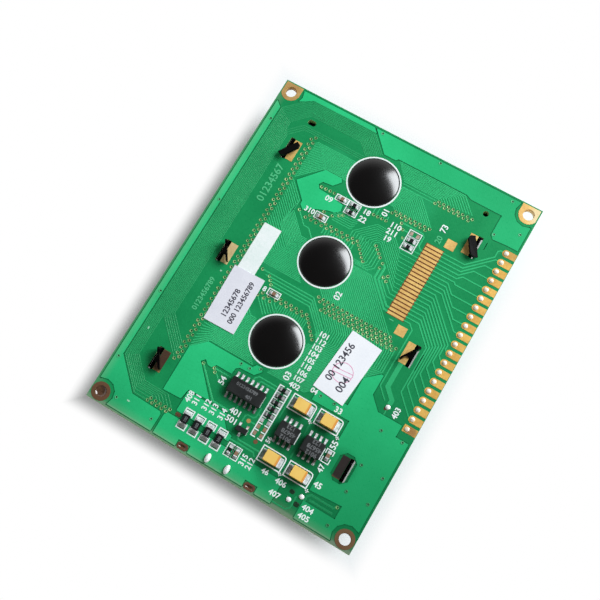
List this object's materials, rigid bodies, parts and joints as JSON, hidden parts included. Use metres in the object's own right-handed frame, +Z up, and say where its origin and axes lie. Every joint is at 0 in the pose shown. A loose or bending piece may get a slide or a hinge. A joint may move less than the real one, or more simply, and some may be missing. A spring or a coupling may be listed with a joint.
{
  "type": "graphic lcd module",
  "caption": "Graphic LCD module on its display face: green board with chip domes, edge fingers and small parts above a black steel bezel whose twisted legs hold it.",
  "frame": {"origin": "on the ground under the middle of the board, at the bottom centre of the whole part", "axes": "+X across the board towards the edge fingers, +Y along the board's long side away from the backlight pins, +Z up, out of the component side; the display faces down"},
  "size_m": [0.07, 0.093, 0.0131],
  "materials": {
    "board_laminate": "glossy green solder mask over laminate, pale cut edge",
    "pour_copper": "bright green solder mask over copper",
    "trace_copper": "green solder mask over thin copper",
    "gold_plating": "satin gold over copper, browned by flux in places",
    "solder": "smooth bright solder",
    "tinned_steel": "tinned, slightly dull",
    "black_steel": "smooth black coating on stamped steel",
    "black_resin": "glossy poured resin",
    "white_ink": "printed ink, slightly thin over the mask",
    "paper_label": "paper label with faint print",
    "black_moulding": "matt moulded package",
    "tantalum_resin": "matt yellow moulding with an orange end",
    "black_ceramic": "glazed black resistor body",
    "brown_ceramic": "matt light brown ceramic",
    "cell_glass": "flat polished glass",
    "polarizer_film": "grey green film",
    "grey_rubber": "striped grey silicone rubber",
    "white_plastic": "matt white plastic",
    "led_package": "white package with pale yellow resin",
    "light_board_laminate": "white mask over laminate"
  },
  "bodies": {
    "root": {"circuit_board": "board_laminate", "copper_pours": "pour_copper", "finger_traces": "trace_copper", "edge_fingers": "gold_plating", "connector_land": "gold_plating", "land_end_pads": "gold_plating", "mounting_pads": "gold_plating", "leg_pads": "gold_plating", "anchor_rims": "gold_plating", "test_points": "gold_plating", "component_lands": "solder", "package_lands": "solder", "header_solder": "solder", "jumper_solder": "solder", "backlight_solder": "solder", "tantalum_solder": "solder", "large_resistor_solder": "solder", "backlight_pins": "tinned_steel", "driver_leads": "tinned_steel", "left_amplifier_leads": "tinned_steel", "right_amplifier_leads": "tinned_steel", "transistor_leads": "tinned_steel", "tantalum_terminals": "tinned_steel", "large_resistor_ends": "tinned_steel", "small_resistor_ends": "tinned_steel", "ceramic_capacitor_ends": "tinned_steel", "bezel": "black_steel", "upper_chip_dome": "black_resin", "middle_chip_dome": "black_resin", "lower_chip_dome": "black_resin", "dome_rings": "white_ink", "printed_block": "white_ink", "printed_outlines": "white_ink", "lot_label": "paper_label", "check_label": "paper_label", "driver_body": "black_moulding", "left_amplifier_body": "black_moulding", "right_amplifier_body": "black_moulding", "transistor_body": "black_moulding", "tantalum_bodies": "tantalum_resin", "large_resistor_bodies": "black_ceramic", "small_resistor_bodies": "black_ceramic", "ceramic_capacitor_bodies": "brown_ceramic", "front_glass": "cell_glass", "rear_glass": "cell_glass", "front_polarizer": "polarizer_film", "rear_polarizer": "polarizer_film", "contact_strips": "grey_rubber", "diffuser_sheet": "white_plastic", "backlight_frame": "white_plastic", "backlight_board": "light_board_laminate", "backlight_leds": "led_package"}
  },
  "joints": []
}
